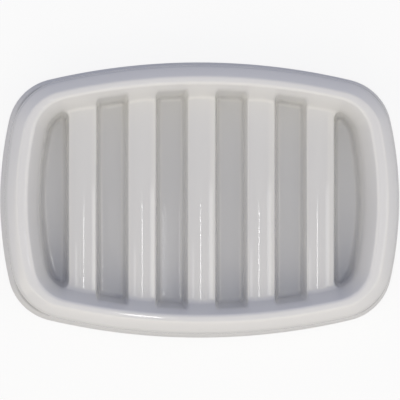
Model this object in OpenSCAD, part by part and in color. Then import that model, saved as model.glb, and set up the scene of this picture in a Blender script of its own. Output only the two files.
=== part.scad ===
// Slow feeder bowl: a ribbed feeding tray on a flared base shell with four rubber feet.
// Millimetres, +Z up, origin on the floor under the middle of the bowl.

/* [Plan] */
// Length over the foot of the skirt
bowl_l = 232; // [190:1:280]
// Width over the foot of the skirt
bowl_w = 160; // [130:1:190]
// Radius of the long sides in plan
side_r = 382; // [250:1:600]
// Radius of the short ends in plan
end_r = 211; // [150:1:400]
// Corner radius in plan at the foot of the skirt
skirt_corner_r = 31; // [24:0.5:45]
// Corner radius in plan at the lip of the tray
lip_corner_r = 34; // [30:0.5:50]

/* [Heights] */
// Height of the rim above the floor
rim_h = 38; // [34:0.5:60]
// Height of the flat edges of the ribs
rib_h = 24; // [18:0.5:28]
// Height of the pocket floors
pocket_floor_h = 8; // [7:0.5:12]
// Height of the seam between tray and base
seam_h = 24; // [18:0.5:28]

/* [Rim] */
// Wall of the tray moulding
tray_wall = 2.4; // [1.5:0.1:2.5]
// Upright height of the lip above the seam
lip_h = 8.4; // [6:0.1:12]
// Lean of the lip over its height
lip_lean = 0.4; // [0:0.1:1]
// Distance from the lip to the outer edge of the crest
crest_start = 7; // [5:0.1:9]
// Width of the crest
crest_w = 4; // [3.6:0.1:6]
// How much wider the crest is at the short ends
end_crest_extra = 1.8; // [0:0.1:2.5]
// Run of the inner slope from the crest to the ribs
slope_run = 7.4; // [7:0.1:10]
// Rounding of the lip shoulder
shoulder_r = 3; // [2.5:0.1:5]
// Rounding of the outer edge of the crest
crest_out_r = 2.8; // [2.5:0.1:6]
// Rounding of the inner edge of the crest
crest_in_r = 2.6; // [2.5:0.1:3]
// Hollow rounding where the slope meets the ribs
slope_foot_r = 3.6; // [2:0.1:5]

/* [Ribs and pockets] */
// Number of ribs across the tray
rib_count = 5; // [3:1:7]
// Centres of the outer ribs in from the ends of the bowl
end_rib_in = 47.4; // [44:0.1:60]
// Width of a rib at its flat edges
rib_w = 15.8; // [10:0.1:20]
// Rise of the crowned rib top above its edges
rib_crown = 0.8; // [0.2:0.1:2]
// Rounding of the rib edges
rib_edge_r = 1.3; // [0.5:0.1:2]
// Distance from the lip to the ends of the pockets
pocket_reach = 14.4; // [11:0.1:16]
// Distance from the lip to the round side of the two end pockets
end_pocket_reach = 17.7; // [17:0.1:22]
// Draft of the pocket sides along the ribs
side_draft = 6; // [2:0.5:10]
// Draft of the pocket ends
end_draft = 9; // [2:0.5:12]
// Rounding of the pocket corners and floors
pocket_r = 2.6; // [1.5:0.1:4]

/* [Base shell] */
// How far the foot of the skirt stands out from the lip
skirt_out = 2.5; // [1.5:0.1:4]
// How far the top of the skirt stands back under the lip
seam_back = 0.8; // [0.3:0.1:1.2]
// Wall of the base shell
base_wall = 2.2; // [1.5:0.1:3]
// Thickness of the base floor
floor_t = 2; // [1.5:0.1:3]
// Depth of the shoulder that carries the lip
ledge_t = 3; // [2:0.1:4]
// Height of the upstand that centres the tray
upstand_h = 5; // [3:0.1:7]
// Thickness of the upstand
upstand_t = 1.8; // [1.2:0.1:2.5]
// Play between the upstand and the lip
upstand_play = 0.35; // [0.2:0.05:0.6]

/* [Feet] */
// Diameter of a foot pad
foot_d = 14; // [10:0.5:18]
// Height of a foot pad
foot_h = 2; // [1.5:0.1:4]
// Stem diameter of a foot
stem_d = 5.6; // [4:0.1:8]
// Diameter of the head that holds a foot in
head_d = 8; // [6:0.1:11]
// Height of that head
head_h = 1.2; // [0.8:0.1:2]
// Play between a stem and its hole
stem_play = 0.4; // [0.3:0.05:0.8]
// Rounding of the pad edge
pad_edge_r = 0.8; // [0.3:0.1:1.2]
// Foot centres in from the ends of the bowl
foot_end_in = 32; // [26:0.5:50]
// Foot centres in from the long sides of the bowl
foot_side_in = 26; // [20:0.5:45]

/* [Hidden] */

// Facets on the tray, which is one smooth moulding
side_steps = 12;
end_steps = 6;
corner_steps = 9;
ball_facets = 16;
spot_steps = 5;
// Steps on each rounding of a wall section
round_steps = 3;
// Facets on true round forms
smooth = 96;
crown_facets = 160;
edge_facets = 24;
// Overrun of a cutting tool past the face it cuts
over = 1;
// Flat of the tray form kept past the foot of the slope
deck_lap = 5;
// How far the tray is trimmed outside its lip
trim_out = 3;
// Flat of the ledge outside the upstand
ledge_lap = 1.2;
// Rounding of the skirt at the floor and at the seam
skirt_edge_r = 0.8;

// Plan arcs: a side centre on Y, an end centre on X
side_centre = [0, bowl_w / 2 - side_r];
end_centre = [bowl_l / 2 - end_r, 0];

// Heights that follow
lip_top = seam_h + lip_h;
floor_top = foot_h + floor_t;
slope_foot = crest_start + crest_w + slope_run;
slope_angle = atan((rim_h - rib_h) / slope_run);
flat_start = slope_foot + slope_foot_r * tan(slope_angle / 2);
seam_inset = skirt_out + seam_back;
edge_run = rib_edge_r / tan((90 + side_draft) / 2);

// Spacing of the ribs
rib_pitch = (bowl_l - 2 * end_rib_in) / (rib_count - 1);

// Places of the feet
foot_x = bowl_l / 2 - foot_end_in;
foot_y = bowl_w / 2 - foot_side_in;

// Vectors
function unit(v) = v / norm(v);
function polar(c, r, t) = c + r * [cos(t), sin(t)];
function angle_of(v) = atan2(v[1], v[0]);

// Centre of the end arc, moved in by a shift
function end_arc_centre(shift) = end_centre - [shift, 0];

// How far the end arcs are moved in at a distance from the lip, so that the crest is wider there
function end_shift(inset) = end_crest_extra * min(max((inset - crest_start) / crest_w, 0), 1);

// Corner centre in plan: a circle inside both the side arc and the end arc.
function corner_centre(out, r, shift) =
    let (
        p = side_centre, rp = side_r - out - r,
        q = end_arc_centre(shift), rq = end_r - out - r,
        d = norm(q - p), e = (q - p) / d,
        x = (d * d + rp * rp - rq * rq) / (2 * d),
        h = sqrt(rp * rp - x * x)
    )
    p + e * x + h * [e[1], -e[0]];

// Wall sections, drawn as [distance in from the outline, height]
function right_of(v) = [v[1], -v[0]];

// One corner of a path, rounded, with at most half of each side used up
function round_corner(a, p, b, wanted_r) =
    let (
        u = unit(a - p), v = unit(b - p),
        half = acos(u * v) / 2,
        run = min(wanted_r / tan(half), norm(a - p) / 2, norm(b - p) / 2),
        r = run * tan(half),
        c = p + unit(u + v) * r / sin(half),
        from = angle_of(p + u * run - c),
        turn = (2 * half - 180) * sign(cross(u, v))
    )
    [for (i = [0:round_steps]) polar(c, r, from + turn * i / round_steps)];

// A path with its inner corners rounded, one radius for each
function rounded(path, radii) =
    let (last = len(path) - 1)
    concat(
        [path[0]],
        [for (i = [1:last - 1]) each round_corner(path[i - 1], path[i], path[i + 1], radii[i - 1])],
        [path[last]]
    );

// The same path moved over to its right
function parallel(path, gap) =
    let (
        last = len(path) - 1,
        sides = [for (i = [0:last - 1]) right_of(unit(path[i + 1] - path[i]))]
    )
    [
        for (i = [0:last])
        let (m = sides[max(i - 1, 0)], n = sides[min(i, last - 1)])
        path[i] + gap * (m + n) / (1 + m * n)
    ];

// Place on a straight line at a height
function at_height(a, b, z) = a + (b - a) * (z - a[1]) / (b[1] - a[1]);

// Upper face of the tray from the lip inwards, or its under face at a gap of one wall.
// The lip line starts at the floor, so that it can be trimmed flat at the seam.
function tray_path(gap) =
    let (
        corners = [
            [-lip_lean * seam_h / lip_h, 0],
            [lip_lean, lip_top],
            [crest_start, rim_h],
            [crest_start + crest_w, rim_h],
            [slope_foot, rib_h],
            [slope_foot + deck_lap, rib_h]
        ]
    )
    parallel(rounded(corners, [shoulder_r, crest_out_r, crest_in_r, slope_foot_r]), gap);

// Stations round a plan outline, each [arc centre, arc radius, direction].
// Every arc meets the next without a corner.
function stations(out, r, shift) =
    let (
        c = corner_centre(out, r, shift),
        ce = end_arc_centre(shift),
        te = angle_of(c - ce),
        ts = angle_of(c - side_centre),
        end = end_r - out,
        side = side_r - out,
        arcs = [
            [ce, end, -te, te, end_steps],
            [c, r, te, ts, corner_steps],
            [side_centre, side, ts, 180 - ts, side_steps],
            [[-c[0], c[1]], r, 180 - ts, 180 - te, corner_steps],
            [-ce, end, 180 - te, 180 + te, end_steps],
            [-c, r, 180 + te, 180 + ts, corner_steps],
            [-side_centre, side, 180 + ts, 360 - ts, side_steps],
            [[c[0], -c[1]], r, 360 - ts, 360 - te, corner_steps]
        ]
    )
    [for (a = arcs, i = [0:a[4] - 1]) [a[0], a[1], a[2] + (a[3] - a[2]) * i / a[4]]];

// Plan outline set in by a distance. Lip and skirt outlines have the same number of points.
function outline(inset, out, r, shift) = [for (s = stations(out, r, shift)) polar(s[0], s[1] - inset, s[2])];

// A section path of [inset, height] as levels of a loft, each [height, outline]
function lip_levels(path) = [for (p = path) [p[1], outline(p[0], skirt_out, lip_corner_r, end_shift(p[0]))]];
function skirt_levels(path) = [for (p = path) [p[1], outline(p[0], 0, skirt_corner_r, 0)]];

// Solid through a row of levels, closed by its first and last outline
module loft(levels) {
    n = len(levels[0][1]);
    last = len(levels) - 1;
    points = [for (l = levels, q = l[1]) [q[0], q[1], l[0]]];
    walls = [
        for (k = [0:last - 1], i = [0:n - 1])
        let (j = (i + 1) % n)
        [k * n + i, (k + 1) * n + i, (k + 1) * n + j, k * n + j]
    ];
    first_face = [for (i = [0:n - 1]) i];
    last_face = [for (i = [n - 1:-1:0]) last * n + i];
    polyhedron(points, concat([first_face], walls, [last_face]), convexity = 8);
}

// The tray without its pockets: solid under its upper face
module tray_form() loft(lip_levels(tray_path(0)));

// All that is hollow under it, and all outside the lip below the seam
module tray_hollow() {
    path = tray_path(tray_wall);
    loft(lip_levels(concat(
        [[-trim_out, -over], [-trim_out, seam_h], at_height(path[0], path[1], seam_h)],
        [for (i = [1:len(path) - 1]) path[i]]
    )));
}

// Places of the ribs along X
function rib_x(i) = (i - (rib_count - 1) / 2) * rib_pitch;

// Half width of the tray at x, a given distance in from the lip
function edge_y(x, inset) =
    let (
        c = corner_centre(skirt_out, lip_corner_r, end_shift(inset)),
        r = lip_corner_r - inset,
        ts = angle_of(c - side_centre),
        side = side_r - skirt_out - inset
    )
    x < c[0] + r * cos(ts)
        ? side_centre[1] + sqrt(side * side - x * x)
        : c[1] + sqrt(max(r * r - (x - c[0]) * (x - c[0]), 0));

// How far a pocket wall has moved in at a height, from draft
function side_in(z) = (rib_h - z) * tan(side_draft) + pocket_r / cos(side_draft);
function end_in(z, h) = (h - z) * tan(end_draft) + pocket_r / cos(end_draft);

// Height of the inner slope where the long pockets open into it
reach_h = rim_h - (pocket_reach - crest_start - crest_w) * (rim_h - rib_h) / slope_run;

// Corner places of a long pocket between two ribs
function long_spots(i, z) =
    let (
        xa = rib_x(i) + rib_w / 2 + side_in(z),
        xb = rib_x(i + 1) - rib_w / 2 - side_in(z),
        inset = pocket_reach + end_in(z, reach_h)
    )
    [for (x = [xa, xb], s = [-1, 1]) [x, s * edge_y(abs(x), inset), z]];

// Places round a D-shaped pocket at the right end
function end_spots(z) =
    let (
        x = rib_x(rib_count - 1) + rib_w / 2 + side_in(z),
        inset = end_pocket_reach + end_in(z, rib_h),
        ce = end_arc_centre(end_shift(inset)),
        c = corner_centre(skirt_out, lip_corner_r, end_shift(inset)),
        te = angle_of(c - ce),
        ts = angle_of(c - side_centre),
        steps = [for (k = [0:spot_steps]) k / spot_steps],
        end_side = [for (k = steps) polar(ce, end_r - skirt_out - inset, te * k)],
        corner_side = [for (k = steps) polar(c, lip_corner_r - inset, te + (ts - te) * k)],
        half = concat([[x, edge_y(x, inset)]], [for (q = concat(end_side, corner_side)) if (q[0] > x) q])
    )
    [for (q = half, s = [-1, 1]) [q[0], s * q[1], z]];

// One pocket: balls at its floor corners and above the rim, so every edge is round
module pocket(low, high, gap) hull() for (p = concat(low, high)) translate(p) sphere(pocket_r + gap, $fn = ball_facets);

// All pockets, or with a gap of one wall their outsides
module pockets(gap) {
    low = pocket_floor_h + pocket_r;
    high = rim_h + pocket_r + tray_wall;
    for (i = [0:rib_count - 2]) pocket(long_spots(i, low), long_spots(i, high), gap);
    for (k = [0, 1]) mirror([k, 0, 0]) pocket(end_spots(low), end_spots(high), gap);
}

// A section across a rib, carried along it
module along_rib(x, half_l) translate([x, half_l, 0]) rotate([90, 0, 0]) linear_extrude(2 * half_l) children();

// Crown of a rib top
module crown() {
    half_w = rib_w / 2 - edge_run;
    r = (half_w * half_w + rib_crown * rib_crown) / (2 * rib_crown);
    intersection() {
        translate([0, rib_h + rib_crown - r]) circle(r, $fn = crown_facets);
        translate([-half_w, rib_h - tray_wall / 2]) square([2 * half_w, tray_wall]);
    }
}

// Sliver that rounds the right edge of a rib, drawn from that edge
module edge_cut() {
    wall_x = edge_run * sin(side_draft);
    wall_z = rib_h - edge_run * cos(side_draft);
    difference() {
        polygon([
            [-edge_run, rib_h],
            [-edge_run, rib_h + over],
            [wall_x + over, rib_h + over],
            [wall_x + over, wall_z],
            [wall_x, wall_z]
        ]);
        translate([-edge_run, rib_h - rib_edge_r]) circle(rib_edge_r, $fn = edge_facets);
    }
}

// Both edges of every rib, rounded as far as the tops are flat
module edge_cuts() {
    for (i = [0:rib_count - 1], k = [0, 1]) {
        x = rib_x(i) + (rib_w / 2) * (1 - 2 * k);
        along_rib(x, edge_y(abs(x), max(flat_start, end_pocket_reach))) mirror([k, 0]) edge_cut();
    }
}

// One moulding: rim, inner slope, crowned ribs and pockets in an even wall
module feeding_tray() color("gainsboro") difference() {
    union() {
        difference() {
            union() {
                tray_form();
                for (i = [0:rib_count - 1]) along_rib(rib_x(i), edge_y(abs(rib_x(i)), pocket_reach)) crown();
            }
            tray_hollow();
        }
        intersection() {
            tray_form();
            pockets(tray_wall);
        }
    }
    pockets(0);
    edge_cuts();
}

// Lower shell: flared skirt, ledge and upstand for the tray, floor with holes for the feet.
// Its faces follow one path from the underside over the seam and down to the inside of the floor.
module base_shell() color("silver") difference() {
    loft(concat(skirt_levels(outer_path()), lip_levels(upstand_path()), skirt_levels(inner_path())));
    for (x = [-foot_x, foot_x], y = [-foot_y, foot_y])
        translate([x, y, foot_h - over]) cylinder(floor_t + 2 * over, d = stem_d + 2 * stem_play, $fn = smooth);
}

// Outside of the skirt, from the underside to the ledge
function outer_path() = rounded(
    [[base_wall, foot_h], [0, foot_h], [seam_inset, seam_h], [seam_inset + ledge_lap, seam_h]],
    [skirt_edge_r, skirt_edge_r]
);

// Upstand inside the lip of the tray, from the ledge over its top to the underside of the ledge
function upstand_path() =
    let (face = tray_wall + upstand_play, back = face + upstand_t, top = seam_h + upstand_h)
    [
        [face, seam_h],
        [face, top - upstand_t / 2],
        [face + upstand_t / 2, top],
        [back, top],
        [back, seam_h - ledge_t]
    ];

// Inside of the skirt, from the ledge to the floor
function inner_inset(z) = base_wall + seam_inset * (z - foot_h) / (seam_h - foot_h);
function inner_path() = [for (z = [seam_h - ledge_t, floor_top]) [inner_inset(z), z]];

// Push-in rubber foot: pad, stem through the floor and holding head
module foot(x, y) color("dimgray") translate([x, y, 0]) rotate_extrude($fn = smooth) polygon(concat(
    rounded([[0, 0], [foot_d / 2, 0], [foot_d / 2, foot_h]], [pad_edge_r]),
    [
        [stem_d / 2, foot_h],
        [stem_d / 2, floor_top],
        [head_d / 2, floor_top],
        [stem_d / 2, floor_top + head_h],
        [0, floor_top + head_h]
    ]
));

module foot_front_left() foot(-foot_x, -foot_y);
module foot_front_right() foot(foot_x, -foot_y);
module foot_rear_left() foot(-foot_x, foot_y);
module foot_rear_right() foot(foot_x, foot_y);

feeding_tray();
base_shell();
foot_front_left();
foot_front_right();
foot_rear_left();
foot_rear_right();
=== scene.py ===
"""Looks of the slow feeder bowl: a glossy ribbed tray on a flared base shell with rubber feet.

The two mouldings are meshed here from the same sections and outlines as the CAD solids, but with
every edge and hollow rounded as a mould leaves it. Lengths are in millimetres until a mesh is
made, and in metres in the finishes and for the floor, the lamps and the camera.
"""

import bmesh
import bpy
import numpy as np
from mathutils import Matrix, Vector


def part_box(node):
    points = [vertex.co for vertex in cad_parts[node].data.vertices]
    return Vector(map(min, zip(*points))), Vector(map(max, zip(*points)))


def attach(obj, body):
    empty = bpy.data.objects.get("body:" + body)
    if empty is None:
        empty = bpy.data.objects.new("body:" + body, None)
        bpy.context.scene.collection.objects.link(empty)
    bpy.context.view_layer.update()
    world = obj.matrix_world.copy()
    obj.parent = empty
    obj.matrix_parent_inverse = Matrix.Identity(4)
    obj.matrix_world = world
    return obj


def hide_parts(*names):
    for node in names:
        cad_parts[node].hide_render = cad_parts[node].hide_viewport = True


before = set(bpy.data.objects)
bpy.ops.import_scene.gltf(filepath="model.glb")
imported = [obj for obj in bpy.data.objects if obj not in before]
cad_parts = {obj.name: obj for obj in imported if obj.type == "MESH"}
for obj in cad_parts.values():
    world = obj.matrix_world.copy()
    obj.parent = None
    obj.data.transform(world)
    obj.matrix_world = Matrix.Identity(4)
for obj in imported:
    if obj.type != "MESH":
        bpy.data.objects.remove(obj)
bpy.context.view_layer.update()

MM = 0.001


def node_mm(node):
    """Lowest and highest corner of a CAD node, in millimetres."""
    low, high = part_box(node)
    return np.array(low) / MM, np.array(high) / MM


def foot_place(node):
    """X and Y of a foot's middle."""
    low, high = node_mm(node)
    return tuple((low + high)[:2] / 2)


TRAY_HIGH = node_mm("feeding_tray")[1]
BASE_LOW = node_mm("base_shell")[0]
FOOT_NODES = ("foot_front_left", "foot_front_right", "foot_rear_left", "foot_rear_right")
FOOT_PLACES = [foot_place(node) for node in FOOT_NODES]

# Plan outlines. The foot of the skirt stands out from the tray's lip, by a hundredth less than in
# the solid, so that it stays in its box.
SKIRT_OUT = 2.49
SKIRT_SIDE_R, SKIRT_END_R, SKIRT_CORNER_R = 382.0, 211.0, 31.0
LIP_HALF_L, LIP_HALF_W = TRAY_HIGH[:2]
LIP_SIDE_R, LIP_END_R, LIP_CORNER_R = SKIRT_SIDE_R - SKIRT_OUT, SKIRT_END_R - SKIRT_OUT, 34.0

# Heights above the table
RIM_H = TRAY_HIGH[2]
RIB_H = 24.0
POCKET_FLOOR_H = 8.0
SEAM_H = 24.0
FOOT_H = BASE_LOW[2]

# Wall section of the rim: the crest and the slope start at distances in from the lip
TRAY_WALL = 2.4
LIP_H, LIP_LEAN, LIP_EDGE_R = 8.4, 0.4, 0.25
CREST_START, CREST_W, SLOPE_RUN = 7.0, 4.0, 7.4
END_CREST_EXTRA = 1.8
SHOULDER_R, CREST_OUT_R, CREST_IN_R, SLOPE_FOOT_R = 5.0, 2.8, 2.6, 3.6
SLOPE_START = CREST_START + CREST_W
SLOPE_FOOT = SLOPE_START + SLOPE_RUN
SLOPE_ANGLE = np.arctan((RIM_H - RIB_H) / SLOPE_RUN)
SLOPE = np.tan(SLOPE_ANGLE)

# Ribs. The crown falls to the rib's height just before the round at the pocket's mouth.
RIB_COUNT, RIB_PITCH, RIB_W, RIB_CROWN = 5, 34.3, 15.8, 0.8
SIDE_RIBS = RIB_COUNT // 2
OUTER_RIB_X = SIDE_RIBS * RIB_PITCH
CROWN_STOP = 0.9

# Pockets. At the mouth their ends are this far in from the lip, which for the long ones is on
# the slope, at the height POCKET_END_H.
MOUTH_R, POCKET_R, END_CORNER_R = 0.8, 2.4, 4.5
POCKET_REACH, END_POCKET_REACH = 14.4, 17.7
POCKET_END_H = RIM_H - (POCKET_REACH - SLOPE_START) * SLOPE
SIDE_DRAFT, END_DRAFT = np.radians(6.0), np.radians(9.0)

# Base shell
SEAM_BACK, BASE_WALL, FLOOR_T = 0.8, 2.2, 2.0
FLOOR_TOP = FOOT_H + FLOOR_T
LEDGE_T, LEDGE_LAP = 3.0, 1.2
UPSTAND_H, UPSTAND_T, UPSTAND_PLAY = 5.0, 1.8, 0.35
UPSTAND_TOP_R = UPSTAND_T / 3
SKIRT_EDGE_R = 0.8
FLOOR_CORNER_R = 1.2

# Feet
FOOT_D, STEM_D, HEAD_D, HEAD_H, STEM_PLAY = 14.0, 5.6, 8.0, 1.2, 0.4
PAD_EDGE_R, PAD_TOP_R, DIMPLE_R, DIMPLE_H = 0.8, 0.3, 2.4, 0.5
NECK_R, HEAD_EDGE_R, HEAD_TOP_R = 0.2, 0.3, 0.5

# Steps of a round in a section
ROUND_STEPS, LIP_EDGE_STEPS, UPSTAND_STEPS, PAD_STEPS, HEAD_STEPS = 8, 3, 4, 5, 4

# Grid of the tray: columns are closer at the rib edges and in the pockets' round corners. Rings
# run in from the lip to RING_END, and rows run straight across inside the last ring. The
# underside has one ring for UNDER_STEPS of them.
EDGE_ZONE_IN, EDGE_ZONE_OUT = 1.6, 4.6
EDGE_STEP, RIB_STEP, POCKET_STEP, RING_STEP = 0.25, 1.2, 1.8, 0.35
RING_END, CROSS_ROWS, UNDER_STEPS = 24.6, 12, 4

# Heights on the tray are found by halving the room between its lowest and highest place.
SEARCH_MARGIN, HALVINGS = 1.0, 26

# Grid of the base: its even columns cover a share of the long sides. The ends of all loops have
# END_COLUMNS more in each quarter.
SIDE_COLUMNS, STRAIGHT_SHARE, END_COLUMNS = 60, 0.9, 40
HOLE_SIDES, FOOT_SIDES = 40, 72

# A face of the base that looks this much up or down is shaded flat.
FLAT_FACE = 0.999
TINY = 1e-9


class Plan:
    """Outline of two side arcs and two end arcs, joined by corner arcs without a kink."""

    def __init__(self, half_l, half_w, side_r, end_r, corner_r, shift=0.0):
        self.side_r, self.end_r, self.corner_r = side_r, end_r, corner_r
        self.side_c = np.array([0.0, half_w - side_r])
        self.end_c = np.array([half_l - end_r - shift, 0.0])

        # The corner arc touches both others from inside, which fixes how far its centre is from
        # each of theirs.
        to_side, to_end = side_r - corner_r, end_r - corner_r
        gap = self.end_c - self.side_c
        apart = np.hypot(*gap)
        along = (apart * apart + to_side * to_side - to_end * to_end) / (2 * apart)
        off = np.sqrt(to_side * to_side - along * along)
        way = gap / apart
        self.corner_c = self.side_c + way * along + off * np.array([way[1], -way[0]])
        self.end_turn = np.arctan2(*(self.corner_c - self.end_c)[::-1])
        self.side_turn = np.arctan2(*(self.corner_c - self.side_c)[::-1])

    def inset(self, x, y):
        """Distance in from the outline at a place."""
        x, y = np.abs(x), np.abs(y)
        side = self.side_r - np.hypot(x, y - self.side_c[1])
        end = self.end_r - np.hypot(x - self.end_c[0], y)
        corner = self.corner_r - np.hypot(x - self.corner_c[0], y - self.corner_c[1])
        at_side = np.arctan2(y - self.side_c[1], x) >= self.side_turn
        at_end = np.arctan2(y, x - self.end_c[0]) <= self.end_turn
        return np.where(at_side, side, np.where(at_end, end, corner))

    def half_width(self, x, inset):
        """Half width at x of the outline set in by a distance."""
        r = self.corner_r - inset
        at_side = x < self.corner_c[0] + r * np.cos(self.side_turn)
        side = self.side_c[1] + np.sqrt(np.maximum((self.side_r - inset) ** 2 - x * x, 0))
        corner = self.corner_c[1] + np.sqrt(np.maximum(r * r - (x - self.corner_c[0]) ** 2, 0))
        return np.where(at_side, side, corner)

    def round_end(self, x0, inset):
        """Even places on the inset outline, from after x0 on the far side to the right tip."""
        side_r, r, end_r = self.side_r - inset, self.corner_r - inset, self.end_r - inset
        arcs = []
        start = self.side_turn
        if x0 < self.corner_c[0] + r * np.cos(self.side_turn):
            arcs.append((self.side_c, side_r, np.arccos(x0 / side_r), self.side_turn))
        else:
            start = np.arccos((x0 - self.corner_c[0]) / r)
        arcs.append((self.corner_c, r, start, self.end_turn))
        arcs.append((self.end_c, end_r, self.end_turn, 0.0))
        lengths = np.array([arc_r * abs(b - a) for _, arc_r, a, b in arcs])
        marks = np.concatenate([[0.0], np.cumsum(lengths)])
        places = []
        for s in np.linspace(0, 1, END_COLUMNS + 1)[1:] * marks[-1]:
            k = min(int(np.searchsorted(marks, s, side="right")) - 1, len(arcs) - 1)
            centre, arc_r, a, b = arcs[k]
            turn = a + (b - a) * (s - marks[k]) / max(lengths[k], TINY)
            places.append(centre + arc_r * np.array([np.cos(turn), np.sin(turn)]))
        return np.array(places)

    def loop(self, x, inset):
        """The whole inset outline, counter-clockwise from the right tip.

        Its sides have points at x and -x, and its ends are divided evenly.
        """
        side = np.column_stack([x, self.half_width(x, inset)])
        quarter = np.vstack([side, self.round_end(x[-1], inset)])
        return np.vstack(
            [
                quarter[::-1],
                quarter[1:] * [-1, 1],
                quarter[::-1][1:] * [-1, -1],
                quarter[1:-1] * [1, -1],
            ]
        )


def rim_plan(inset):
    """Plan of the tray for a distance in from the lip: the crest is wider at the short ends."""
    shift = END_CREST_EXTRA * float(np.clip((inset - CREST_START) / CREST_W, 0, 1))
    return Plan(LIP_HALF_L, LIP_HALF_W, LIP_SIDE_R, LIP_END_R, LIP_CORNER_R, shift)


SKIRT_PLAN = Plan(
    LIP_HALF_L + SKIRT_OUT, LIP_HALF_W + SKIRT_OUT, SKIRT_SIDE_R, SKIRT_END_R, SKIRT_CORNER_R
)


def unit(v):
    return v / np.hypot(*v)


def rounded(path, radii, steps=ROUND_STEPS):
    """A path of [inset, height] with its inner corners rounded, one radius for each."""
    path = [np.array(p, float) for p in path]
    out = [path[0]]
    for i, wanted in enumerate(radii, start=1):
        a, p, b = path[i - 1], path[i], path[i + 1]
        u, v = unit(a - p), unit(b - p)
        half = np.arccos(np.clip(u @ v, -1, 1)) / 2
        run = min(wanted / np.tan(half), np.hypot(*(a - p)) / 2, np.hypot(*(b - p)) / 2)
        r = run * np.tan(half)
        centre = p + unit(u + v) * r / np.sin(half)
        start = np.arctan2(*(p + u * run - centre)[::-1])
        turn = (2 * half - np.pi) * np.sign(u[0] * v[1] - u[1] * v[0])
        for k in range(steps + 1):
            angle = start + turn * k / steps
            out.append(centre + r * np.array([np.cos(angle), np.sin(angle)]))
    out.append(path[-1])
    return np.array(out)


# The rim from the seam over the crest to the start of its inner slope
RIM_PATH = rounded(
    [
        [0, SEAM_H],
        [LIP_LEAN, SEAM_H + LIP_H],
        [CREST_START, RIM_H],
        [SLOPE_START, RIM_H],
        [SLOPE_FOOT, RIB_H],
    ],
    [SHOULDER_R, CREST_OUT_R, CREST_IN_R],
)[:-1]


def crowned_deck(x):
    """Height of the rib tops at x, with the crown across each rib."""
    rib = np.clip(np.round(x / RIB_PITCH), -SIDE_RIBS, SIDE_RIBS)
    half_w = RIB_W / 2 - MOUTH_R * CROWN_STOP
    share = np.clip(np.abs(x - rib * RIB_PITCH) / half_w, 0, 1)
    return RIB_H + RIB_CROWN * (1 - share**2)


def plain_height(x, d):
    """Height of the tray without pockets, and how far its face looks up, at x and inset d."""
    deck = crowned_deck(x)
    cross = SLOPE_START + (RIM_H - deck) / SLOPE
    flat = cross + SLOPE_FOOT_R * np.tan(SLOPE_ANGLE / 2)
    turn = SLOPE_FOOT_R * np.sin(SLOPE_ANGLE)
    on_slope = flat - d > turn
    back = np.clip(flat - d, 0, turn)
    rise = np.sqrt(SLOPE_FOOT_R**2 - back**2)
    z = np.where(on_slope, RIM_H - (d - SLOPE_START) * SLOPE, deck + SLOPE_FOOT_R - rise)
    steep = np.where(on_slope, SLOPE, back / rise)
    return z, 1 / np.sqrt(1 + steep**2)


def round_meeting(a, b, r):
    """Distance to what two forms share, from the distance to each, with a round of radius r."""
    outside = np.sqrt(np.maximum(a + r, 0) ** 2 + np.maximum(b + r, 0) ** 2)
    return outside + np.minimum(np.maximum(a, b) + r, 0) - r


def pocket_distance(x, d, z):
    """Distance to the nearest pocket, negative in it: drafted walls, round corners and edges."""
    pocket = np.floor(x / RIB_PITCH)
    left = pocket * RIB_PITCH + RIB_W / 2
    right = (pocket + 1) * RIB_PITCH - RIB_W / 2
    at_end = np.abs(x) > OUTER_RIB_X
    drop = (RIB_H - z) * np.tan(SIDE_DRAFT)
    between = np.maximum(left + drop - x, x - right + drop)
    beyond = OUTER_RIB_X + RIB_W / 2 + drop - np.abs(x)
    side = np.where(at_end, beyond, between) * np.cos(SIDE_DRAFT)
    reach = np.where(at_end, END_POCKET_REACH, POCKET_REACH)
    top = np.where(at_end, RIB_H, POCKET_END_H)
    end = (reach + (top - z) * np.tan(END_DRAFT) - d) * np.cos(END_DRAFT)
    walls = round_meeting(side, end, np.where(at_end, END_CORNER_R, POCKET_R))
    return round_meeting(walls, POCKET_FLOOR_H - z, POCKET_R)


def tray_height(x, d, depth):
    """Height at x and inset d of the face that lies a depth under the moulded one."""
    plain, up = plain_height(x, d)
    low = np.full_like(x, POCKET_FLOOR_H - depth - SEARCH_MARGIN)
    high = np.full_like(x, RIM_H + SEARCH_MARGIN)
    for _ in range(HALVINGS):
        z = (low + high) / 2
        deck = (z - plain) * up + depth
        inside = round_meeting(deck, depth - pocket_distance(x, d, z), MOUTH_R) < 0
        low, high = np.where(inside, z, low), np.where(inside, high, z)
    return (low + high) / 2


def spaced(start, end, step):
    """Even marks from start to end, about a step apart, without the end."""
    n = max(int(round(abs(end - start) / step)), 1)
    return list(np.linspace(start, end, n + 1)[:-1])


def column_marks():
    """Places of the tray's columns along X, from the middle to past the outer rib."""
    marks = []
    here = 0.0
    for i in range(SIDE_RIBS + 1):
        outer_edge = i * RIB_PITCH + RIB_W / 2
        if i:
            inner_edge = i * RIB_PITCH - RIB_W / 2
            marks += spaced(here, inner_edge - EDGE_ZONE_OUT, POCKET_STEP)
            marks += spaced(inner_edge - EDGE_ZONE_OUT, inner_edge + EDGE_ZONE_IN, EDGE_STEP)
            here = inner_edge + EDGE_ZONE_IN
        marks += spaced(here, outer_edge - EDGE_ZONE_IN, RIB_STEP)
        marks += spaced(outer_edge - EDGE_ZONE_IN, outer_edge + EDGE_ZONE_OUT, EDGE_STEP)
        here = outer_edge + EDGE_ZONE_OUT
    return np.array(marks + [here])


def add_object(name, data):
    """A new object in the scene."""
    obj = bpy.data.objects.new(name, data)
    bpy.context.scene.collection.objects.link(obj)
    return obj


def moulding(name, points, faces):
    """A smooth moulding from points in millimetres and lists of faces."""
    mesh = bpy.data.meshes.new(name)
    mesh.from_pydata((np.asarray(points) * MM).tolist(), [], faces)
    mesh.validate()
    mesh.shade_smooth()
    return add_object(name, mesh)


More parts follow.
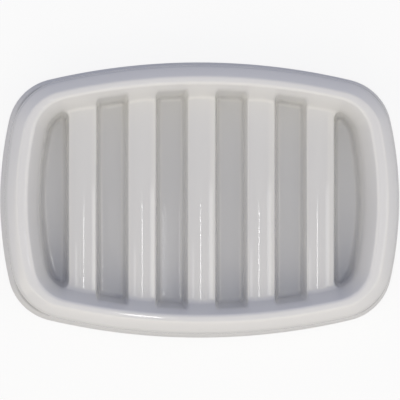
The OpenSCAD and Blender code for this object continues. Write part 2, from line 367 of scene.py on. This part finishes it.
def level(xy, z):
    """The points of a loop at one height, or at a height for each."""
    return np.column_stack([xy, np.full(len(xy), z)])


def bands(loops, n, start=0):
    """Quads between neighbouring loops of n points each, the first loop at an index."""
    i = np.arange(n)
    j = (i + 1) % n
    faces = []
    for k in range(loops - 1):
        first, second = start + k * n, start + (k + 1) * n
        faces += np.column_stack([first + i, first + j, second + j, second + i]).tolist()
    return faces


def tray_face(rings, depth):
    """Points and faces of one side of the tray: its rings, then straight rows in the middle."""
    n = len(rings[0])
    half = n // 2
    faces = bands(len(rings), n)

    # Inside the last ring the face changes along X only, so the rows cross from one of its
    # halves to the other.
    inner = rings[-1]
    far, near = inner[: half + 1], np.vstack([inner[:1], inner[: half - 1 : -1]])
    plan = rim_plan(RING_END)
    rows = []
    for share in np.linspace(0, 1, CROSS_ROWS + 1)[1:-1]:
        xy = (far + (near - far) * share)[1:-1, :2]
        d = np.maximum(plan.inset(xy[:, 0], xy[:, 1]), RING_END)
        rows.append(level(xy, tray_height(xy[:, 0], d, depth)))

    # All rows meet at the two tips, where the faces are triangles.
    tip = (len(rings) - 1) * n
    grid = [tip + np.arange(half + 1)]
    for k in range(len(rows)):
        inside = len(rings) * n + k * (half - 1) + np.arange(half - 1)
        grid.append(np.concatenate([[tip], inside, [tip + half]]))
    grid.append(np.concatenate([[tip], tip + n - np.arange(1, half + 1)]))
    for a, b in zip(grid[:-1], grid[1:]):
        quads = np.column_stack([a[:-1], a[1:], b[1:], b[:-1]]).tolist()
        faces += [list(dict.fromkeys(quad)) for quad in quads]
    return np.vstack(rings + rows), faces


def tray_moulding():
    """The tray with its even wall: both sides are meshed on columns that follow the ribs."""
    columns = column_marks()

    def ring(inset, z):
        return level(rim_plan(inset).loop(columns, inset), z)

    def deck_rings(start, step, depth):
        """Rings after an inset, on the face that lies a depth under the moulded one."""
        rings = []
        for inset in spaced(start, RING_END, step)[1:] + [RING_END]:
            xy = rim_plan(inset).loop(columns, inset)
            rings.append(level(xy, tray_height(xy[:, 0], np.full(len(xy), inset), depth)))
        return rings

    edge = rounded(
        [[TRAY_WALL, SEAM_H + UPSTAND_H], [TRAY_WALL, SEAM_H], [0, SEAM_H], RIM_PATH[1]],
        [LIP_EDGE_R, LIP_EDGE_R],
        LIP_EDGE_STEPS,
    )
    rings = [ring(inset, z) for inset, z in np.vstack([edge[:-1], RIM_PATH[1:]])]
    top, faces = tray_face(rings + deck_rings(RIM_PATH[-1][0], RING_STEP, 0.0), 0.0)

    # The underside shares the first ring, on the inner face of the lip, and follows the rim one
    # wall below it.
    along = np.gradient(RIM_PATH, axis=0)
    along /= np.hypot(*along.T)[:, None]
    below = RIM_PATH + TRAY_WALL * np.column_stack([along[:, 1], -along[:, 0]])
    below = below[(below[:, 1] > SEAM_H + UPSTAND_H) & (below[:, 0] >= TRAY_WALL)]
    under_rings = rings[:1] + [ring(inset, z) for inset, z in below]
    under_rings += deck_rings(below[-1][0], RING_STEP * UNDER_STEPS, TRAY_WALL)
    under, under_faces = tray_face(under_rings, TRAY_WALL)
    n = len(rings[0])
    shift = len(top) - n
    faces += [[k if k < n else k + shift for k in reversed(face)] for face in under_faces]
    return moulding("tray_moulding", np.vstack([top, under[n:]]), faces)


def neighbours(loop):
    """Each point of a closed loop with the next one."""
    return list(zip(loop, loop[1:] + loop[:1]))


def close_floor(mesh, loops, n):
    """Closes the base between its first and last loop: a floor plate with holes for the feet."""
    bm = bmesh.new()
    bm.from_mesh(mesh)
    hole = (STEM_D / 2 + STEM_PLAY) * MM
    turns = [2 * np.pi * k / HOLE_SIDES for k in range(HOLE_SIDES)]
    plates = []
    for row, z in ((0, FOOT_H), (loops - 1, FLOOR_TOP)):
        bm.verts.ensure_lookup_table()
        edges = [bm.edges.get(pair) for pair in neighbours(bm.verts[row * n : (row + 1) * n])]
        holes = []
        for x, y in FOOT_PLACES:
            circle = [(x * MM + hole * np.cos(t), y * MM + hole * np.sin(t), z * MM) for t in turns]
            ring = [bm.verts.new(point) for point in circle]
            edges += [bm.edges.new(pair) for pair in neighbours(ring)]
            holes.append(ring)
        bmesh.ops.triangle_fill(bm, edges=edges, use_beauty=True)
        plates.append(holes)
    for lower, upper in zip(*plates):
        for (a, b), (c, d) in zip(neighbours(lower), neighbours(upper)):
            bm.faces.new((a, b, d, c))
    bmesh.ops.recalc_face_normals(bm, faces=bm.faces)
    for face in bm.faces:
        face.smooth = abs(face.normal.z) < FLAT_FACE
    bm.to_mesh(mesh)
    bm.free()


def shell_moulding():
    """The base: flared skirt, ledge and upstand under the tray, floor with holes for the feet."""
    seam_inset = SKIRT_OUT + SEAM_BACK
    outer = rounded(
        [
            [BASE_WALL + SKIRT_EDGE_R, FOOT_H],
            [0, FOOT_H],
            [seam_inset, SEAM_H],
            [seam_inset + LEDGE_LAP, SEAM_H],
        ],
        [SKIRT_EDGE_R, SKIRT_EDGE_R],
    )
    face = TRAY_WALL + UPSTAND_PLAY
    back = face + UPSTAND_T
    top = SEAM_H + UPSTAND_H
    under_ledge = SEAM_H - LEDGE_T
    upstand = rounded(
        [[face, SEAM_H], [face, top], [back, top], [back, under_ledge]],
        [UPSTAND_TOP_R, UPSTAND_TOP_R],
        UPSTAND_STEPS,
    )
    lean = seam_inset / (SEAM_H - FOOT_H)
    floor_edge = BASE_WALL + lean * FLOOR_T
    inner = rounded(
        [
            [BASE_WALL + lean * (under_ledge - FOOT_H), under_ledge],
            [floor_edge, FLOOR_TOP],
            [floor_edge + FLOOR_CORNER_R * 2, FLOOR_TOP],
        ],
        [FLOOR_CORNER_R],
    )
    loops = []
    for path, plan in ((outer, SKIRT_PLAN), (upstand, rim_plan(0)), (inner, SKIRT_PLAN)):
        columns = np.linspace(0, STRAIGHT_SHARE * plan.corner_c[0], SIDE_COLUMNS + 1)
        loops += [level(plan.loop(columns, inset), z) for inset, z in path]
    n = len(loops[0])
    shell = moulding("base_moulding", np.vstack(loops), bands(len(loops), n))
    close_floor(shell.data, len(loops), n)
    return shell


def foot_moulding(name, x, y):
    """Push-in rubber foot: round pad with a dimple, stem through the floor and holding head."""
    stem_r, pad_r = STEM_D / 2, FOOT_D / 2
    pad = rounded(
        [
            [0, DIMPLE_H],
            [DIMPLE_R, DIMPLE_H],
            [DIMPLE_R + DIMPLE_H, 0],
            [pad_r, 0],
            [pad_r, FOOT_H],
            [stem_r, FOOT_H],
        ],
        [DIMPLE_H, DIMPLE_H, PAD_EDGE_R, PAD_TOP_R],
        PAD_STEPS,
    )
    stem = rounded(
        [
            [stem_r, FOOT_H],
            [stem_r, FLOOR_TOP],
            [HEAD_D / 2, FLOOR_TOP],
            [stem_r, FLOOR_TOP + HEAD_H],
            [0, FLOOR_TOP + HEAD_H],
        ],
        [NECK_R, HEAD_EDGE_R, HEAD_TOP_R],
        HEAD_STEPS,
    )
    path = np.vstack([pad, stem[1:]])
    turns = np.linspace(0, 2 * np.pi, FOOT_SIDES, endpoint=False)
    points = [[x, y, path[0][1]]]
    for r, z in path[1:-1]:
        points += [[x + r * np.cos(t), y + r * np.sin(t), z] for t in turns]
    points.append([x, y, path[-1][1]])

    # The first and the last point close the pad and the head with a fan each.
    loops = len(path) - 2
    last = 1 + (loops - 1) * FOOT_SIDES
    sides = range(FOOT_SIDES)
    faces = [[0, 1 + (k + 1) % FOOT_SIDES, 1 + k] for k in sides]
    faces += bands(loops, FOOT_SIDES, start=1)
    faces += [[last + k, last + (k + 1) % FOOT_SIDES, len(points) - 1] for k in sides]
    return moulding(name, points, faces)


# Shaders


class Socket:
    """A shader output that can be added and multiplied."""

    def __init__(self, shader, output):
        self.shader, self.output = shader, output

    def maths(self, operation, *values):
        return self.shader.node(
            "ShaderNodeMath", {"operation": operation}, dict(enumerate(values))
        )

    def __add__(self, other):
        return self.maths("ADD", self, other)

    def __mul__(self, other):
        return self.maths("MULTIPLY", self, other)

    __radd__, __rmul__ = __add__, __mul__


class Shader:
    """A material or world whose nodes are made one by one."""

    def __init__(self, owner):
        owner.use_nodes = True
        self.owner, self.tree = owner, owner.node_tree
        self.tree.nodes.clear()

    def node(self, kind, settings=None, values=None, output=0):
        """A node of a kind: its settings, then a value or link for each socket named.

        Gives the output asked for, by name or number.
        """
        made = self.tree.nodes.new(kind)
        for key, value in (settings or {}).items():
            setattr(made, key, value)
        for key, value in (values or {}).items():
            if isinstance(value, Socket):
                self.tree.links.new(value.output, made.inputs[key])
            else:
                made.inputs[key].default_value = value
        return Socket(self, made.outputs[output]) if made.outputs else made

    def noise(self, place, scale, detail, roughness=0.5):
        """Soft noise over the piece, finer with a larger scale."""
        values = {"Vector": place, "Scale": scale, "Detail": detail, "Roughness": roughness}
        return self.node("ShaderNodeTexNoise", {}, values, "Fac")

    def blend(self, share, first, second):
        """From the first colour to the second."""
        values = {"Factor": share, "A": first, "B": second}
        return self.node("ShaderNodeMix", {"data_type": "RGBA"}, values, "Result")

    def bump(self, height, strength, distance):
        values = {"Strength": strength, "Distance": distance, "Height": height}
        return self.node("ShaderNodeBump", {}, values, "Normal")

    def mixed(self, share, first, second):
        """From the first closure to the second."""
        return self.node("ShaderNodeMixShader", {}, {"Fac": share, 1: first, 2: second}, "Shader")

    def rays(self):
        """Whether the camera, a glossy face or a clear face is looking: 1 or 0 for each."""
        kinds = ("Camera", "Glossy", "Transmission")
        return [self.node("ShaderNodeLightPath", output=f"Is {kind} Ray") for kind in kinds]


def material(name):
    return Shader(bpy.data.materials.new(name))


# Moulded plastic: noise scales and details, and how much each noise does
PLASTIC_WHITE = (0.72, 0.72, 0.722)
CLOUD_SCALE, CLOUD_DETAIL, CLOUD_SHARE = 14.0, 3.0, 0.3
# Share of the tone that is painted light and shade by height; the rest is random cloud
PAINTED_SHADE_SHARE = 1.0 - CLOUD_SHARE
HAZE_SCALE, HAZE_DETAIL, HAZE_ROUGHNESS, HAZE_SPREAD = 95.0, 5.0, 0.6, 0.07
WAVE_SCALE, WAVE_DETAIL, WAVE_STRENGTH, WAVE_DISTANCE = 42.0, 1.0, 0.06, 0.0006
HAZE_IN_WAVE = 0.12
COAT_ROUGHNESS, COAT_IOR = 0.045, 1.5

# The base plastic is painted darker over this height up to the seam: painted shade under the tray's
# lip.
SEAM_PAINTED_SHADE = 7.0

# Foot rubber
RUBBER_BLACK = (0.055, 0.055, 0.058)
GRAIN_SCALE, GRAIN_DETAIL, GRAIN_STRENGTH, GRAIN_DISTANCE = 1400.0, 2.0, 0.35, 0.0002
RUBBED_SCALE, RUBBED_DETAIL, RUBBED_PALER, RUBBED_SHARE = 160.0, 4.0, 1.5, 0.6
RUBBER_ROUGHNESS, RUBBED_ROUGHER = 0.66, 0.12


def moulded_plastic(name, shade_tones, heights, roughness, shine, gloss):
    """Moulded plastic from one tone to another between two heights: painted light and shade that
    changes with height.

    It is faintly clouded, hazed and wavy, with a share of polish.
    """
    s = material(name)
    place = s.node("ShaderNodeTexCoord", output="Object")
    cloud = s.noise(place, CLOUD_SCALE, CLOUD_DETAIL)
    haze = s.noise(place, HAZE_SCALE, HAZE_DETAIL, HAZE_ROUGHNESS)
    wave = s.noise(place, WAVE_SCALE, WAVE_DETAIL)
    first, second = [tuple(c * tone for c in PLASTIC_WHITE) + (1.0,) for tone in shade_tones]
    height = s.node("ShaderNodeSeparateXYZ", {}, {"Vector": place}, "Z")
    # Painted shade: the tone follows the height, darker where less light falls
    ends = {"From Min": heights[0] * MM, "From Max": heights[1] * MM}
    rise = s.node("ShaderNodeMapRange", {}, {"Value": height, **ends}, "Result")
    body = s.node(
        "ShaderNodeBsdfPrincipled",
        {},
        {
            "Base Color": s.blend(rise * PAINTED_SHADE_SHARE + cloud * CLOUD_SHARE, first, second),
            "Roughness": haze * HAZE_SPREAD + (roughness - HAZE_SPREAD / 2),
            "Normal": s.bump(wave + haze * HAZE_IN_WAVE, WAVE_STRENGTH, WAVE_DISTANCE),
            "Specular IOR Level": shine,
            "Coat Weight": gloss,
            "Coat Roughness": COAT_ROUGHNESS,
            "Coat IOR": COAT_IOR,
        },
        "BSDF",
    )
    s.node("ShaderNodeOutputMaterial", {}, {"Surface": body})
    return s.owner


def foot_rubber(name):
    """Soft rubber: matt with a fine moulded grain and paler rubbed spots."""
    s = material(name)
    place = s.node("ShaderNodeTexCoord", output="Object")
    grain = s.noise(place, GRAIN_SCALE, GRAIN_DETAIL)
    rubbed = s.noise(place, RUBBED_SCALE, RUBBED_DETAIL)
    black = RUBBER_BLACK + (1.0,)
    paler = tuple(c * RUBBED_PALER for c in RUBBER_BLACK) + (1.0,)
    body = s.node(
        "ShaderNodeBsdfPrincipled",
        {},
        {
            "Base Color": s.blend(rubbed * RUBBED_SHARE, black, paler),
            "Roughness": rubbed * RUBBED_ROUGHER + RUBBER_ROUGHNESS,
            "Normal": s.bump(grain, GRAIN_STRENGTH, GRAIN_DISTANCE),
        },
        "BSDF",
    )
    s.node("ShaderNodeOutputMaterial", {}, {"Surface": body})
    return s.owner


# Painted shade: the tray is darker down at the rib tops than up on the rim, as the inside of the
# bowl gets less light
tray_plastic = moulded_plastic(
    "tray_plastic",
    shade_tones=(0.95, 1.15),
    heights=(RIB_H, RIM_H),
    roughness=0.3,
    shine=0.2,
    gloss=0.9,
)
# Painted shade: the base darkens towards the seam, under the tray's lip
base_plastic = moulded_plastic(
    "base_plastic",
    shade_tones=(0.6, 1.3),
    heights=(SEAM_H, SEAM_H - SEAM_PAINTED_SHADE),
    roughness=0.45,
    shine=0.1,
    gloss=0.1,
)
rubber = foot_rubber("foot_rubber")


def dress(obj, node, finish):
    """Puts a piece in the place of its CAD node, with its finish."""
    obj.data.materials.append(finish)
    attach(obj, "root")
    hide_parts(node)


dress(tray_moulding(), "feeding_tray", tray_plastic)
dress(shell_moulding(), "base_shell", base_plastic)
for (x, y), node in zip(FOOT_PLACES, FOOT_NODES):
    dress(foot_moulding(node + "_pad", x, y), node, rubber)


# Stage, in metres. The floor has one tone to the camera and a darker one to the light that it
# throws back on the bowl. It lies just under the feet, so that their faces don't meet it.
WHITE = (1.0, 1.0, 1.0, 1.0)
FLOOR_HALF, FLOOR_DROP = 3.0, 0.0001
FLOOR_TONE, FLOOR_BOUNCE_TONE = 0.9, 0.48
SEEN_BY_CAMERA, SEEN_IN_GLOSS = 0.88, 0.4
SKY_COLOUR, SKY_STRENGTH = (0.56, 0.64, 1.0, 1.0), 0.39

# Lamps: name, place, size, power in watts and colour
WARM, NEUTRAL = (1.0, 0.91, 0.66), (1.0, 1.0, 1.0)
LAMPS = (
    ("south_box", (0.0, -2.4, 1.4), (3.2, 2.0), 11.0, WARM),
    ("high_south_box", (0.0, -1.8, 2.1), (3.2, 1.6), 13.0, WARM),
    ("west_box", (-2.2, -0.8, 1.8), (3.2, 2.8), 34.0, WARM),
    ("east_box", (2.2, -0.25, 1.8), (3.4, 3.0), 33.0, WARM),
    ("top_box", (0.0, 0.0, 2.3), (1.2, 1.0), 0.7, WARM),
    ("strip_middle", (0.006, -0.035, 1.22), (0.026, 0.086), 0.087, NEUTRAL),
    ("strip_east", (0.463, -0.058, 1.22), (0.17, 0.164), 0.2, NEUTRAL),
    ("strip_west", (-0.324, -0.083, 1.22), (0.08, 0.114), 0.06, NEUTRAL),
)

# Camera: nearly straight above. Its tilts are in degrees, and the frame's width is at the table.
CAMERA_DISTANCE, FRAME_WIDTH = 2.8, 0.2322
CAMERA_TILT, CAMERA_SIDE = 0.6, -2.5
CAMERA_AIM = (0.0, 0.0, 0.002)
SENSOR_WIDTH, CLIP_END = 36.0, 20.0


def floor_sheet():
    """Pale floor with a soft shadow, brought up to white for the camera and for glossy pieces."""
    mesh = bpy.data.meshes.new("floor_sheet")
    corners = [(-1, -1), (1, -1), (1, 1), (-1, 1)]
    points = [(x * FLOOR_HALF, y * FLOOR_HALF, -FLOOR_DROP) for x, y in corners]
    mesh.from_pydata(points, [], [(0, 1, 2, 3)])
    floor = add_object("floor_sheet", mesh)
    s = material("floor_white")
    pale, grey = [
        s.node("ShaderNodeBsdfDiffuse", {}, {"Color": (tone, tone, tone, 1.0)}, "BSDF")
        for tone in (FLOOR_TONE, FLOOR_BOUNCE_TONE)
    ]
    white = s.node("ShaderNodeEmission", {}, {"Color": WHITE, "Strength": 1.0}, "Emission")
    camera_ray, glossy_ray, clear_ray = s.rays()
    seen = camera_ray * SEEN_BY_CAMERA + (glossy_ray + clear_ray) * SEEN_IN_GLOSS
    surface = s.mixed(seen, s.mixed(camera_ray, grey, pale), white)
    s.node("ShaderNodeOutputMaterial", {}, {"Surface": surface})
    mesh.materials.append(s.owner)


def facing(away):
    """Turn that points -Z against a direction and keeps X level."""
    away = Vector(away).normalized()
    right = Vector((0.0, 1.0, 0.0)).cross(away).normalized()
    return Matrix((right, away.cross(right), away)).transposed().to_4x4()


def lamp(name, place, size, power, colour):
    """A soft box that shines from a place towards the bowl."""
    light = bpy.data.lights.new(name, "AREA")
    light.shape = "RECTANGLE"
    light.size, light.size_y = size
    light.energy = power
    light.color = colour
    add_object(name, light).matrix_world = Matrix.Translation(place) @ facing(place)


def studio_world():
    """Dim bluish light on the bowl, and white for the camera and for glossy and clear pieces."""
    s = Shader(bpy.data.worlds.new("studio_world"))
    bpy.context.scene.world = s.owner
    camera_ray, glossy_ray, clear_ray = s.rays()
    dim, white = [
        s.node("ShaderNodeBackground", {}, {"Color": colour, "Strength": strength}, "Background")
        for colour, strength in ((SKY_COLOUR, SKY_STRENGTH), (WHITE, 1.0))
    ]
    surface = s.mixed(camera_ray + glossy_ray + clear_ray, dim, white)
    s.node("ShaderNodeOutputWorld", {}, {"Surface": surface})


def camera_above():
    """The camera over the bowl, at the angle of the photograph."""
    data = bpy.data.cameras.new("camera")
    data.sensor_width = SENSOR_WIDTH
    data.lens = SENSOR_WIDTH * CAMERA_DISTANCE / FRAME_WIDTH
    data.clip_end = CLIP_END
    lean = (np.tan(np.radians(CAMERA_SIDE)), -np.tan(np.radians(CAMERA_TILT)), 1.0)
    away = Vector(lean).normalized()
    place = Vector(CAMERA_AIM) + CAMERA_DISTANCE * away
    camera = add_object("camera", data)
    camera.matrix_world = Matrix.Translation(place) @ facing(away)
    bpy.context.scene.camera = camera


floor_sheet()
for row in LAMPS:
    lamp(*row)
studio_world()
camera_above()
bpy.context.scene.view_settings.view_transform = "Standard"
